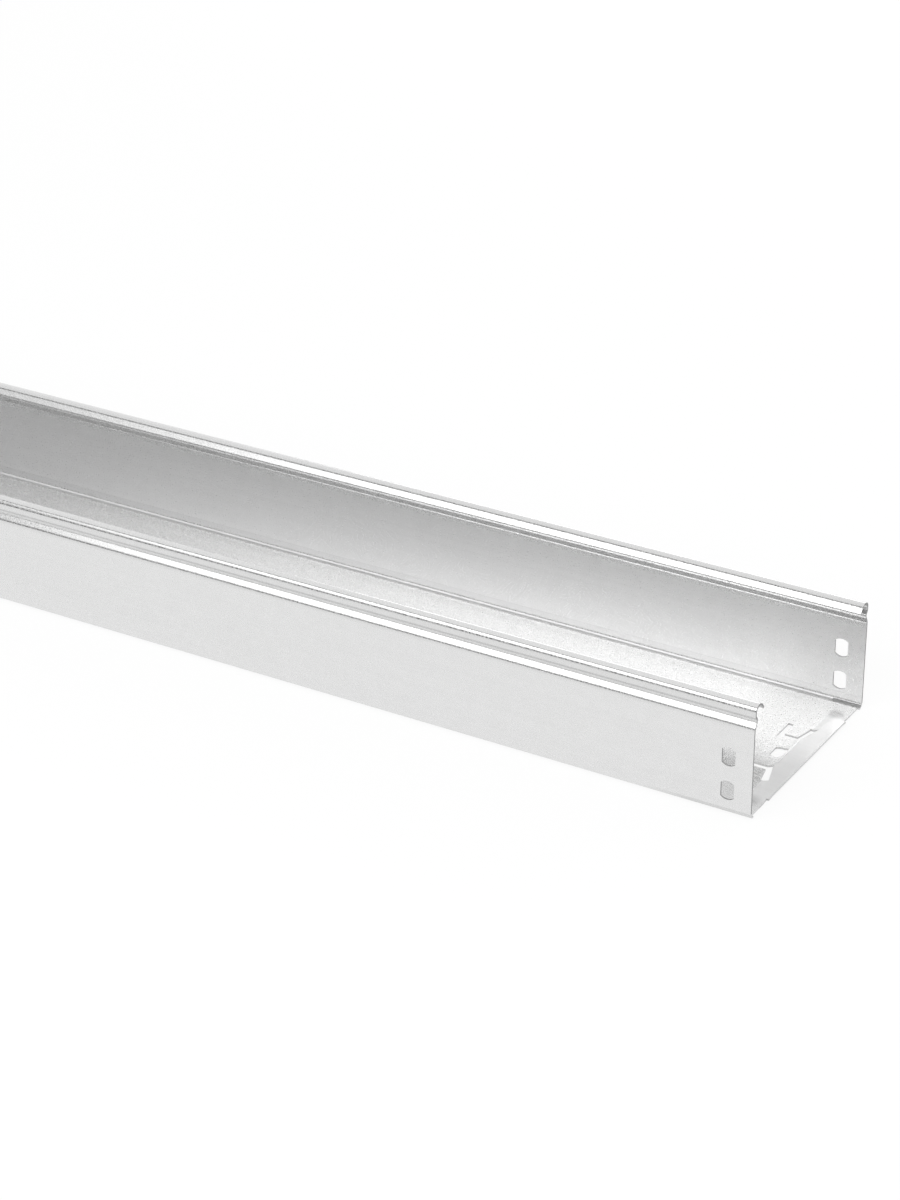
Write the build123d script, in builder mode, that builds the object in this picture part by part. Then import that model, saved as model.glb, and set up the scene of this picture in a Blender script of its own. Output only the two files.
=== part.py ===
"""Solid cable tray, 60 mm high and 125 mm wide, in a 3 m length.

One sheet of galvanised steel is roll-formed into a closed floor, two plain walls and two rolled rims.
One end is the connector end: its floor has a raised lip, two latch tongues and a bolt hole.
The other end is cut square. Both walls carry a pair of bolt slots at each end.

X runs along the tray, with the connector end at +X. Y runs across it and Z points up.
The origin is on the underside, at the middle of the length and width.
"""

import os
from math import atan2, cos

from build123d import *

# Overall sizes, in millimetres
tray_length = 3000.0
outer_width = 125.0
tray_height = 60.0
sheet = 1.0

# Rolled rim, outside face: how far each strip runs in over the tray and how much it rises or drops,
# from the flat wall up over the crest. The flare and the bead run back out towards the wall.
lean_run = 1.7
lean_rise = 3.0
neck_run = 0.25
neck_rise = 1.25
flare_run = 1.45
flare_rise = 1.95
bead_run = 0.1
bead_rise = 2.95
shoulder_run = 0.95
shoulder_rise = 1.7
crest_run = 3.15
crest_rise = 1.35
hook_run = 2.7
hook_drop = 1.6
curl_run = 2.1
curl_drop = 2.5

# Bends, as inside radii: the foot of the wall, and each rim strip's bend from the one before it
foot_bend = 2.0
lean_bend = 3.0
neck_bend = 0.9
flare_bend = 0.9
bead_bend = 0.8
shoulder_bend = 3.0
crest_bend = 0.8
hook_bend = 1.6
curl_bend = 2.0

# Bolt punching, a round punch with two flats
punch_length = 10.0
punch_width = 7.0

# Wall slots at both ends
slot_from_end = 12.5
slot_low = 12.5
slot_pitch = 18.0

# Raised lip of the connector end
lip_rise = 1.0
lip_root = 14.6
lip_shoulder = 10.2
lip_half_width = 47.0
lip_corner_x = 3.2
lip_corner_y = 7.0
lip_ramp = 2.8
lip_side_ramp = 8.0
flank_setback = 1.2

# Latch tongues, each cut free by a slit on three sides
tongue_back = 20.8
tongue_tip_front = 13.9
tongue_root_front = 11.7
tongue_tip = 17.8
tongue_root = 28.2
slit_back = 2.9
slit_tip = 3.6
slit_front_tip = 11.5
slit_front_root = 7.4

# Bolt hole in the lip
lip_hole_from_end = 15.3

half_length = tray_length / 2
half_width = outer_width / 2


def rim_points():
    """Outside face of one rim as (inset, height) points, from the flat wall up to the tip of the curl."""
    climb = [
        (lean_run, lean_rise),
        (neck_run, neck_rise),
        (-flare_run, flare_rise),
        (-bead_run, bead_rise),
        (shoulder_run, shoulder_rise),
        (crest_run, crest_rise),
    ]
    fall = [(hook_run, -hook_drop), (curl_run, -curl_drop)]

    # The crest and the hook meet in a point a little above their rounded bend, which is the tray's top
    top_radius = hook_bend + sheet
    up = atan2(crest_rise, crest_run)
    down = atan2(hook_drop, hook_run)
    crest = tray_height - top_radius + top_radius * cos((up - down) / 2) / cos((up + down) / 2)

    points = [(0, crest - sum(rise for run, rise in climb))]
    for run, rise in climb + fall:
        inset, height = points[-1]
        points.append((inset + run, height + rise))
    return points


def half_section_path():
    """Outside face from the middle of the floor to the tip of one curl, with the radius of each bend."""
    points = [(0, 0), (half_width, 0)] + [(half_width - inset, height) for inset, height in rim_points()]

    # The sheet turns back outwards at the neck and the flare, so there the outside is the inner radius
    bends = [
        foot_bend + sheet,
        lean_bend + sheet,
        neck_bend,
        flare_bend,
        bead_bend + sheet,
        shoulder_bend + sheet,
        crest_bend + sheet,
        hook_bend + sheet,
        curl_bend + sheet,
    ]
    return points, bends


def lip_outline(ramp, side_ramp):
    """Outline of the lip as (distance in from the end, y) points, stepped in from its foot by the ramps."""
    half = [
        (0, lip_half_width - side_ramp),
        (lip_shoulder - lip_corner_x - ramp / 2, lip_half_width - side_ramp),
        (lip_shoulder - ramp, lip_half_width - lip_corner_y - side_ramp / 2),
        (lip_shoulder - ramp, tongue_root),
        (lip_root - ramp, tongue_tip - slit_tip),
    ]
    return half + [(inset, -y) for inset, y in reversed(half)]


def at_end(points):
    """Points given by their distance in from the connector end, in tray coordinates."""
    return [(half_length - inset, y) for inset, y in points]


# The pressed lip: its top face is this form, and its underside is the same form one sheet lower
with BuildPart() as lip_form:
    with BuildSketch(Plane.XY.offset(sheet)):
        with BuildLine():
            Polyline(at_end(lip_outline(0, 0)), close=True)
        make_face()
    with BuildSketch(Plane.XY.offset(sheet + lip_rise)):
        with BuildLine():
            Polyline(at_end(lip_outline(lip_ramp, lip_side_ramp)), close=True)
        make_face()
    loft(ruled=True)

# A round punch with two flats makes every bolt hole
with BuildSketch() as punch:
    Circle(punch_length / 2)
    Rectangle(punch_width, punch_length, mode=Mode.INTERSECT)

with BuildPart() as tray:
    # Floor, walls and rims
    outside, bend_radii = half_section_path()
    with BuildSketch(Plane.YZ) as section:
        with BuildLine():
            FilletPolyline(*outside, radius=bend_radii)
            offset(amount=sheet, side=Side.LEFT)
        make_face()
        mirror(about=Plane.YZ)
    extrude(amount=half_length, both=True)

    # Connector lip
    add(lip_form.part)
    with Locations((0, 0, -sheet)):
        add(lip_form.part, mode=Mode.SUBTRACT)

    # Corners beside the lip, cut back from the end
    flank_inner = lip_half_width - lip_side_ramp / 2
    flank_outer = half_width - foot_bend - sheet
    with BuildSketch(Plane.XY.offset(-sheet)):
        with Locations(*[(half_length, side * (flank_inner + flank_outer) / 2) for side in (-1, 1)]):
            Rectangle(2 * flank_setback, flank_outer - flank_inner)
    extrude(amount=3 * sheet, mode=Mode.SUBTRACT)

    # Slits round the two latch tongues, and the bolt hole between them
    with BuildSketch(Plane.XY.offset(-sheet)) as floor_cuts:
        with BuildLine():
            slit_outline = [
                (slit_front_root, tongue_root),
                (tongue_back + slit_back, tongue_root),
                (tongue_back + slit_back, tongue_tip - slit_tip),
                (slit_front_tip, tongue_tip - slit_tip),
            ]
            Polyline(at_end(slit_outline), close=True)
        make_face()
        with BuildLine():
            tongue_outline = [
                (tongue_root_front, tongue_root),
                (tongue_back, tongue_root),
                (tongue_back, tongue_tip),
                (tongue_tip_front, tongue_tip),
            ]
            Polyline(at_end(tongue_outline), close=True)
        make_face(mode=Mode.SUBTRACT)
        mirror(about=Plane.XZ)
        with Locations((half_length - lip_hole_from_end, 0)):
            add(punch.sketch)
    extrude(amount=3 * sheet + lip_rise, mode=Mode.SUBTRACT)

    # Wall slots, straight through both walls
    slot_x = half_length - slot_from_end
    slot_places = [(x, slot_low + row * slot_pitch) for x in (-slot_x, slot_x) for row in (0, 1)]
    with BuildSketch(Plane.XZ):
        with Locations(*slot_places):
            add(punch.sketch)
    extrude(amount=outer_width, both=True, mode=Mode.SUBTRACT)

tray.part.label = "tray"

os.makedirs("parts", exist_ok=True)
export_step(tray.part, "parts/tray.step")
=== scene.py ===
"""Looks of the solid cable tray: galvanised sheet, a white studio floor and soft light.

Metres, in the tray's own frame: X along the tray with the connector end at +X, Y across it, Z up.
"""

import math

import bpy
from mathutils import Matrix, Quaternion, Vector


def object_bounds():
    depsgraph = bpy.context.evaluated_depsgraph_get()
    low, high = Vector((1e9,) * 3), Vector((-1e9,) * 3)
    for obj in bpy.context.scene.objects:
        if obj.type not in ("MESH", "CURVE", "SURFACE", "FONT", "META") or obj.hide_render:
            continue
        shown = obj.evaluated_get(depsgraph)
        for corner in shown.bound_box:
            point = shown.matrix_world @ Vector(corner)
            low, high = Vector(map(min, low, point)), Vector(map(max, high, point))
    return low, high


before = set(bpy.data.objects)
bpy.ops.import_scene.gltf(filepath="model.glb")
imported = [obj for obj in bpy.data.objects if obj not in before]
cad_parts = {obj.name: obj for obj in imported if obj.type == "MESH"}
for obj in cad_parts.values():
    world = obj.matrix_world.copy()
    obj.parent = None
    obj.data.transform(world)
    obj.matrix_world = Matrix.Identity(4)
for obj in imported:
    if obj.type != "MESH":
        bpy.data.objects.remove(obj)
cad_box = [list(corner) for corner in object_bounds()]
end_x = cad_box[1][0]
side_y = cad_box[1][1]

# Camera, as fitted to the straight edges of the photograph
CAMERA_PLACE = (2.0239, -1.2018, 0.7567)
CAMERA_AZIMUTH = 31.06
CAMERA_ELEVATION = 27.22
CAMERA_ROLL = -0.21
CAMERA_LENS = 94.04

# Studio
FLOOR_SIZE = 80.0
FLOOR_GAP = 0.0003
FLOOR_COLOUR = (0.93, 0.93, 0.93)
FLOOR_WHITE_SHARE = 0.85
ROOM_GREY = 0.8

# Lamps: name, centre, the point it faces, width, height, radiance
LAMPS = [
    ("front_panel", (1.5, -1.7, 1.13), (1.5, 0.0, 0.0), 3.4, 1.2, 1.35),
    ("top_panel", (1.5, -1.48, 1.89), (1.5, 0.0, 0.0), 3.4, 0.67, 1.3),
    ("back_panel", (1.65, 1.7, 0.62), (1.65, 0.0, 0.0), 2.8, 0.55, 1.7),
]

# Dark cards that show in the metal and never to the camera: name, two opposite corners, grey
CARDS = [
    ("low_front_card", (-4.0, -1.8, 0.0), (5.0, -1.8, 0.42), 0.1),
    ("floor_card", (-4.0, -1.8, 0.001), (5.0, -0.8, 0.001), 0.1),
    ("left_front_card", (-4.0, -1.9, 0.4), (-0.2, -1.9, 2.3), 0.4),
    ("overhead_card", (-4.0, -1.2, 2.2), (5.0, -0.33, 2.2), 0.2),
]

# In all that follows a TONE is the factor by which a mark darkens the zinc, a SHADE the factor of painted
# shade, and a BLUR is the distance over which a mark fades out

# Galvanised sheet: a fine grain, cloudy blooms and streaks along the tray
ZINC_COLOUR = (0.785, 0.785, 0.785)
ZINC_SHADE = 0.04
ZINC_ROUGHNESS = (0.1, 0.39)
GRAIN_SIZE = 0.0007
GRAIN_BUMP = 0.02
GRAIN_SHARE = 0.6
BLOOM_SIZE = 0.006
STREAK_SIZE = 0.0025
STREAK_STRETCH = 0.004
STREAK_TONE = 0.97
SPECKLE = 0.6

# Heights and places that bound the marks
MARK_BLUR = 0.0002
LIP_TOP_Z = 0.003
FLOOR_TOP_Z = 0.001
RIM_FOOT_Z = 0.046
WALL_Y = side_y - 0.0012
FLAT_FLOOR_Y = side_y - 0.0112

# Darker steel where the sheet is sheared or punched. A NORMAL is a part of a face's direction: along the tray
# on the ends, which have more of it, and out of the sheet on the slots and slits, which have less
SHEARED_COLOUR = (0.3, 0.3, 0.3)
SHEARED_ROUGHNESS = 0.5
END_NORMAL = 0.7
SLOT_NORMAL = 0.5
SLIT_NORMAL = 0.3
SLIT_SHEARED_SHARE = 0.35

# Rolled rims
RIM_TONE = 0.95
RIM_BLUR = 0.001

# Inside of the walls: all of it dulled by the rolls; painted shade and more roughness in the bend at its
# foot, and painted shade on a strip above that and a line along its top
INNER_Y = side_y - 0.0005
INNER_ROUGHNESS = 0.11
INNER_BLUR = 0.002
FOOT_Y = side_y - 0.003
FOOT_LOW = 0.0011
FOOT_HIGH = 0.0022
# Painted shade darkening the foot bend where its highlight would be
FOOT_SHADE = 0.93
FOOT_ROUGHNESS = 0.45
# Painted shade on a strip above the foot and a line along its top
STRIP_LOW = 0.003
STRIP_LOW_BLUR = 0.0005
STRIP_HIGH = 0.0062
STRIP_LINE = 0.0004
STRIP_SHADE = 0.93

# The pressed lip, whose top the press has dulled and which carries a little painted shade, and whose ramps
# run softly into the floor
LIP_X = end_x - 0.0112
LIP_Y = 0.051
# Painted shade making the lip's top a little darker
LIP_SHADE = 0.95
LIP_ROUGHNESS = 0.38
LIP_BLUR = 0.001
LIP_SIDE_BLUR = 0.006
RAMP_X = end_x - 0.0152
RAMP_NORMAL = 0.5
RAMP_SOFTNESS = 0.75

# Painted shade on the floor round the lip, darker towards the connector end
END_SHADE_X = end_x - 0.06
END_SHADE_BLUR = 0.03
END_FLOOR_SHADE = 0.87

# Painted shade of the soft dip beside each side of the lip, where its ramp falls away
DENT_X = end_x - 0.0072
DENT_Y = 0.0475
DENT_RADIUS = 0.0065
# Painted shade darkening the soft dip
DIP_SHADE = 0.7


class Nodes:
    """Short calls for building a material's node tree."""

    def __init__(self, tree):
        self.tree = tree

    def add(self, kind, **values):
        node = self.tree.nodes.new(kind)
        for name, value in values.items():
            setattr(node, name, value)
        return node

    def link(self, source, target):
        self.tree.links.new(source, target)

    def mapped(self, vector, scale):
        """Coordinates scaled along each axis."""
        node = self.add("ShaderNodeMapping")
        node.inputs["Scale"].default_value = scale
        self.link(vector, node.inputs["Vector"])
        return node.outputs["Vector"]

    def noise(self, vector, size, detail):
        """Noise with features of about the given size in metres."""
        node = self.add("ShaderNodeTexNoise")
        node.inputs["Scale"].default_value = 1 / size
        node.inputs["Detail"].default_value = detail
        node.inputs["Roughness"].default_value = SPECKLE
        self.link(vector, node.inputs["Vector"])
        return node.outputs["Fac"]

    def spread(self, value, low, high):
        """Takes the middle half of a 0 to 1 value to the range low to high."""
        node = self.add("ShaderNodeMapRange")
        node.inputs["From Min"].default_value = 0.25
        node.inputs["From Max"].default_value = 0.75
        node.inputs["To Min"].default_value = low
        node.inputs["To Max"].default_value = high
        self.link(value, node.inputs["Value"])
        return node.outputs["Result"]

    def math(self, operation, first, second=0.0):
        node = self.add("ShaderNodeMath", operation=operation)
        for place, value in enumerate((first, second)):
            if isinstance(value, (int, float)):
                node.inputs[place].default_value = value
            else:
                self.link(value, node.inputs[place])
        return node.outputs["Value"]

    def over(self, value, limit):
        """1 where the value is over the limit."""
        return self.math("GREATER_THAN", value, limit)

    def under(self, value, limit):
        """1 where the value is under the limit."""
        return self.math("LESS_THAN", value, limit)

    def size(self, value):
        """The value without its sign."""
        return self.math("ABSOLUTE", value)

    def product(self, *factors):
        """All factors multiplied, which for masks is where they all lie."""
        result = factors[0]
        for factor in factors[1:]:
            result = self.math("MULTIPLY", result, factor)
        return result

    def parts(self, vector):
        """X, Y and Z of a vector."""
        node = self.add("ShaderNodeSeparateXYZ")
        self.link(vector, node.inputs["Vector"])
        return node.outputs["X"], node.outputs["Y"], node.outputs["Z"]

    def step(self, value, none, full):
        """0 at none and beyond, 1 at full and beyond, smooth between them."""
        node = self.add("ShaderNodeMapRange", interpolation_type="SMOOTHSTEP")
        node.inputs["From Min"].default_value = none
        node.inputs["From Max"].default_value = full
        self.link(value, node.inputs["Value"])
        return node.outputs["Result"]

    def band(self, value, low, high, low_blur, high_blur):
        """1 from low to high, fading out below and above them."""
        risen = self.step(value, low - low_blur, low)
        return self.math("SUBTRACT", risen, self.step(value, high, high + high_blur))

    def tone(self, mask, factor):
        """1 off the mask and the given factor on it."""
        return self.math("SUBTRACT", 1.0, self.math("MULTIPLY", mask, 1 - factor))

    def mix(self, kind, share, first, second):
        """Between two colours or two vectors, each a socket or a plain value."""
        node = self.add("ShaderNodeMix", data_type=kind)
        self.link(share, node.inputs["Factor"])
        for name, value in (("A", first), ("B", second)):
            if isinstance(value, tuple):
                node.inputs[name].default_value = value
            else:
                self.link(value, node.inputs[name])
        return node.outputs["Result"]


def opaque(colour, factor=1.0):
    """A colour times a factor, with an alpha of 1."""
    return (*[channel * factor for channel in colour], 1.0)


def sheared_mask(nodes, place):
    """1 on the cut ends and slot edges, less on the cuts in the floor, 0 on the sheet's own faces."""
    normal = nodes.add("ShaderNodeNewGeometry").outputs["True Normal"]
    along, across, up = [nodes.size(axis) for axis in nodes.parts(normal)]
    x, y, z = nodes.parts(place)
    side = nodes.size(y)
    above_floor = nodes.over(z, LIP_TOP_Z)

    ends = nodes.product(nodes.over(along, END_NORMAL), above_floor)
    in_wall = nodes.product(nodes.over(side, WALL_Y), above_floor, nodes.under(z, RIM_FOOT_Z))
    slots = nodes.product(in_wall, nodes.under(across, SLOT_NORMAL))
    in_floor = nodes.product(nodes.under(z, LIP_TOP_Z), nodes.under(side, FLAT_FLOOR_Y))
    slits = nodes.product(in_floor, nodes.under(up, SLIT_NORMAL), SLIT_SHEARED_SHARE)
    return nodes.math("MAXIMUM", ends, nodes.math("MAXIMUM", slots, slits))


def rim_mask(nodes, place):
    """1 on the rolled rims."""
    x, y, z = nodes.parts(place)
    return nodes.step(z, RIM_FOOT_Z, RIM_FOOT_Z + RIM_BLUR)


def inner_wall_mask(nodes, place):
    """1 on the inside of the flat walls, between the foot bend and the rim."""
    x, y, z = nodes.parts(place)
    side = nodes.size(y)
    inside = nodes.product(nodes.over(side, FOOT_Y), nodes.under(side, INNER_Y))
    above_foot = nodes.step(z, FOOT_HIGH, STRIP_LOW)
    below_rim = nodes.step(z, RIM_FOOT_Z, RIM_FOOT_Z - INNER_BLUR)
    return nodes.product(inside, above_foot, below_rim)


def inner_wall_shade_masks(nodes, place):
    """Painted shade inside the walls: the bend at the foot, the strip above it, and the line along the
    strip's top.
    """
    x, y, z = nodes.parts(place)
    side = nodes.size(y)
    foot = nodes.product(nodes.over(side, FOOT_Y), nodes.band(z, FOOT_LOW, FOOT_HIGH, MARK_BLUR, MARK_BLUR))
    strip = nodes.band(z, STRIP_LOW, STRIP_HIGH, STRIP_LOW_BLUR, MARK_BLUR)
    line = nodes.band(z, STRIP_HIGH, STRIP_HIGH, STRIP_LINE, MARK_BLUR)
    inside = nodes.under(side, INNER_Y)
    return [nodes.product(mask, inside) for mask in (foot, strip, line)]


def lip_mask(nodes, place):
    """1 on the top of the lip and its ramps."""
    x, y, z = nodes.parts(place)
    near_end = nodes.step(x, LIP_X - LIP_BLUR, LIP_X + LIP_BLUR)
    between_sides = nodes.step(nodes.size(y), LIP_Y, LIP_Y - LIP_SIDE_BLUR)
    return nodes.product(near_end, between_sides, nodes.under(z, LIP_TOP_Z))


def end_floor_shade_mask(nodes, place, lip):
    """Painted shade on the floor round the lip, from 0 at its start to 1 towards the connector end."""
    x, y, z = nodes.parts(place)
    near_end = nodes.step(x, END_SHADE_X, END_SHADE_X + END_SHADE_BLUR)
    return nodes.product(near_end, nodes.under(z, LIP_TOP_Z), nodes.math("SUBTRACT", 1.0, lip))


def dip_shade_mask(nodes, place):
    """Painted shade: a round soft spot beside each side of the lip."""
    x, y, z = nodes.parts(place)
    dx = nodes.math("SUBTRACT", x, DENT_X)
    dy = nodes.math("SUBTRACT", nodes.size(y), DENT_Y)
    distance = nodes.math("SQRT", nodes.math("ADD", nodes.product(dx, dx), nodes.product(dy, dy)))
    nearness = nodes.math("SUBTRACT", 1.0, nodes.math("MULTIPLY", distance, 1 / DENT_RADIUS))
    return nodes.product(nodes.step(nearness, 0.0, 1.0), nodes.under(z, LIP_TOP_Z))


def zinc_colour(nodes, place, grain, lip, foot, strip, line):
    """Grey that varies with the grain and the blooms, darkened by painted shade, by the rims and by the
    streaks.
    """
    bloom = nodes.noise(place, BLOOM_SIZE, detail=3.0)
    streak = nodes.noise(nodes.mapped(place, (STREAK_STRETCH, 1, 1)), STREAK_SIZE, detail=2.0)
    mixed = nodes.math("ADD", nodes.product(grain, GRAIN_SHARE), nodes.product(bloom, 1 - GRAIN_SHARE))
    shade = nodes.spread(mixed, 0.0, 1.0)
    zinc = nodes.mix("RGBA", shade, opaque(ZINC_COLOUR, 1 - ZINC_SHADE), opaque(ZINC_COLOUR, 1 + ZINC_SHADE))

    marks = nodes.product(
        # Painted shade on the strip, its top line and the foot bend
        nodes.tone(strip, STRIP_SHADE),
        nodes.tone(line, STRIP_SHADE),
        nodes.tone(foot, FOOT_SHADE),
        nodes.tone(rim_mask(nodes, place), RIM_TONE),
        # Painted shade on the lip
        nodes.tone(lip, LIP_SHADE),
        # Painted shade on the floor round the lip
        nodes.tone(end_floor_shade_mask(nodes, place, lip), END_FLOOR_SHADE),
        # Painted shade beside the lip
        nodes.tone(dip_shade_mask(nodes, place), DIP_SHADE),
        nodes.spread(streak, STREAK_TONE, 1.0),
    )
    return nodes.mix("RGBA", marks, (0.0, 0.0, 0.0, 1.0), zinc)


def zinc_roughness(nodes, place, grain, sheared, foot, lip):
    """Follows the grain, and is raised on the inside of the walls, the foot bend, the lip and the cuts."""
    rougher = nodes.product(inner_wall_mask(nodes, place), INNER_ROUGHNESS)
    roughness = nodes.math("ADD", nodes.spread(grain, *ZINC_ROUGHNESS), rougher)
    for mask, value in ((sheared, SHEARED_ROUGHNESS), (foot, FOOT_ROUGHNESS), (lip, LIP_ROUGHNESS)):
        roughness = nodes.math("MAXIMUM", roughness, nodes.product(mask, value))
    return roughness


def softened_normal(nodes, place):
    """The sheet's own normal, turned towards straight up on the ramps of the lip."""
    geometry = nodes.add("ShaderNodeNewGeometry")
    up = nodes.parts(geometry.outputs["True Normal"])[2]
    x, y, z = nodes.parts(place)
    on_lip = nodes.product(nodes.over(x, RAMP_X), nodes.under(z, LIP_TOP_Z))
    above_floor = nodes.over(z, FLOOR_TOP_Z - MARK_BLUR / 2)
    softness = nodes.product(on_lip, above_floor, nodes.over(up, RAMP_NORMAL), RAMP_SOFTNESS)
    return nodes.mix("VECTOR", softness, geometry.outputs["Normal"], (0.0, 0.0, 1.0))


def galvanised_material():
    """Satin zinc over all of the tray, dulled by the rolls and the press, with painted shade in the creases
    of the walls, on the lip and round it.
    """
    material = bpy.data.materials.new("galvanised_sheet")
    material.use_nodes = True
    nodes = Nodes(material.node_tree)
    shader = material.node_tree.nodes["Principled BSDF"]
    shader.inputs["Metallic"].default_value = 1.0
    place = nodes.add("ShaderNodeTexCoord").outputs["Object"]

    grain = nodes.noise(place, GRAIN_SIZE, detail=2.0)
    sheared = sheared_mask(nodes, place)
    # Painted shade masks inside the walls; the foot mask also roughens the bend
    foot, strip, line = inner_wall_shade_masks(nodes, place)
    lip = lip_mask(nodes, place)

    zinc = zinc_colour(nodes, place, grain, lip, foot, strip, line)
    nodes.link(nodes.mix("RGBA", sheared, zinc, opaque(SHEARED_COLOUR)), shader.inputs["Base Color"])
    nodes.link(zinc_roughness(nodes, place, grain, sheared, foot, lip), shader.inputs["Roughness"])

    bump = nodes.add("ShaderNodeBump")
    bump.inputs["Strength"].default_value = 1.0
    bump.inputs["Distance"].default_value = GRAIN_BUMP * GRAIN_SIZE
    nodes.link(grain, bump.inputs["Height"])
    nodes.link(softened_normal(nodes, place), bump.inputs["Normal"])
    nodes.link(bump.outputs["Normal"], shader.inputs["Normal"])
    return material


def white_for_view(nodes, plain, white):
    """A mix of a plain shader with white, and a mask of the camera, glossy and transmission rays."""
    path = nodes.add("ShaderNodeLightPath")
    seen = nodes.math("MAXIMUM", path.outputs["Is Camera Ray"], path.outputs["Is Glossy Ray"])
    seen = nodes.math("MAXIMUM", seen, path.outputs["Is Transmission Ray"])
    mix = nodes.add("ShaderNodeMixShader")
    nodes.link(plain, mix.inputs[1])
    nodes.link(white, mix.inputs[2])
    return mix, seen


def plain_mesh(name, corners):
    """An object of one flat face."""
    mesh = bpy.data.meshes.new(name)
    mesh.from_pydata(corners, [], [(0, 1, 2, 3)])
    thing = bpy.data.objects.new(name, mesh)
    bpy.context.scene.collection.objects.link(thing)
    return thing


def empty_material(name):
    """A new material with no nodes in it, and its Nodes."""
    material = bpy.data.materials.new(name)
    material.use_nodes = True
    material.node_tree.nodes.clear()
    return material, Nodes(material.node_tree)


def build_floor():
    """Pale floor that keeps the tray's soft shadow."""
    half = FLOOR_SIZE / 2
    low_edge = [(-half, -half, -FLOOR_GAP), (half, -half, -FLOOR_GAP)]
    high_edge = [(half, half, -FLOOR_GAP), (-half, half, -FLOOR_GAP)]
    floor = plain_mesh("studio_floor", low_edge + high_edge)

    material, nodes = empty_material("studio_floor")
    diffuse = nodes.add("ShaderNodeBsdfDiffuse")
    diffuse.inputs["Color"].default_value = opaque(FLOOR_COLOUR)
    white = nodes.add("ShaderNodeEmission")
    mix, seen = white_for_view(nodes, diffuse.outputs["BSDF"], white.outputs["Emission"])
    nodes.link(nodes.product(seen, FLOOR_WHITE_SHARE), mix.inputs["Fac"])
    output = nodes.add("ShaderNodeOutputMaterial")
    nodes.link(mix.outputs["Shader"], output.inputs["Surface"])
    floor.data.materials.append(material)


def build_world():
    """Plain grey room that shows white to the camera and in reflections."""
    world = bpy.data.worlds.new("studio_room")
    world.use_nodes = True
    bpy.context.scene.world = world
    nodes = Nodes(world.node_tree)
    world.node_tree.nodes.clear()
    room = nodes.add("ShaderNodeBackground")
    room.inputs["Color"].default_value = (ROOM_GREY, ROOM_GREY, ROOM_GREY, 1.0)
    white = nodes.add("ShaderNodeBackground")
    white.inputs["Color"].default_value = (1.0, 1.0, 1.0, 1.0)
    mix, seen = white_for_view(nodes, room.outputs["Background"], white.outputs["Background"])
    nodes.link(seen, mix.inputs["Fac"])
    output = nodes.add("ShaderNodeOutputWorld")
    nodes.link(mix.outputs["Shader"], output.inputs["Surface"])


def build_lamps():
    """Soft panels, each given by its radiance, so that 1 is as bright as white paper."""
    for name, place, aim, width, height, radiance in LAMPS:
        light = bpy.data.lights.new(name, "AREA")
        light.shape = "RECTANGLE"
        light.size = width
        light.size_y = height
        light.energy = radiance * math.pi * width * height
        lamp = bpy.data.objects.new(name, light)
        lamp.location = place
        lamp.rotation_mode = "QUATERNION"
        lamp.rotation_quaternion = (Vector(aim) - Vector(place)).to_track_quat("-Z", "Y")
        lamp.visible_camera = False
        bpy.context.scene.collection.objects.link(lamp)


def build_cards():
    """Dark cards, upright or level, whose reflections draw the bends of the sheet."""
    for name, (x0, y0, z0), (x1, y1, z1), grey in CARDS:
        if y0 == y1:
            corners = [(x0, y0, z0), (x1, y0, z0), (x1, y0, z1), (x0, y0, z1)]
        else:
            corners = [(x0, y0, z0), (x1, y0, z0), (x1, y1, z0), (x0, y1, z0)]
        card = plain_mesh(name, corners)

        material, nodes = empty_material(name)
        glow = nodes.add("ShaderNodeEmission")
        glow.inputs["Color"].default_value = (grey, grey, grey, 1.0)
        output = nodes.add("ShaderNodeOutputMaterial")
        nodes.link(glow.outputs["Emission"], output.inputs["Surface"])
        card.data.materials.append(material)
        card.visible_camera = False
        card.visible_diffuse = False
        card.visible_shadow = False


def build_camera():
    azimuth = math.radians(CAMERA_AZIMUTH)
    elevation = math.radians(CAMERA_ELEVATION)
    level = math.cos(elevation)
    forward = Vector((-math.sin(azimuth) * level, math.cos(azimuth) * level, -math.sin(elevation)))
    data = bpy.data.cameras.new("camera")
    data.lens = CAMERA_LENS
    camera = bpy.data.objects.new("camera", data)
    camera.location = CAMERA_PLACE
    camera.rotation_mode = "QUATERNION"
    roll = Quaternion((0, 0, 1), math.radians(CAMERA_ROLL))
    camera.rotation_quaternion = forward.to_track_quat("-Z", "Y") @ roll
    bpy.context.scene.collection.objects.link(camera)
    bpy.context.scene.camera = camera


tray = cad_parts["tray"]
tray.data.materials.clear()
tray.data.materials.append(galvanised_material())

build_floor()
build_world()
build_lamps()
build_cards()
build_camera()
bpy.context.scene.view_settings.view_transform = "Standard"
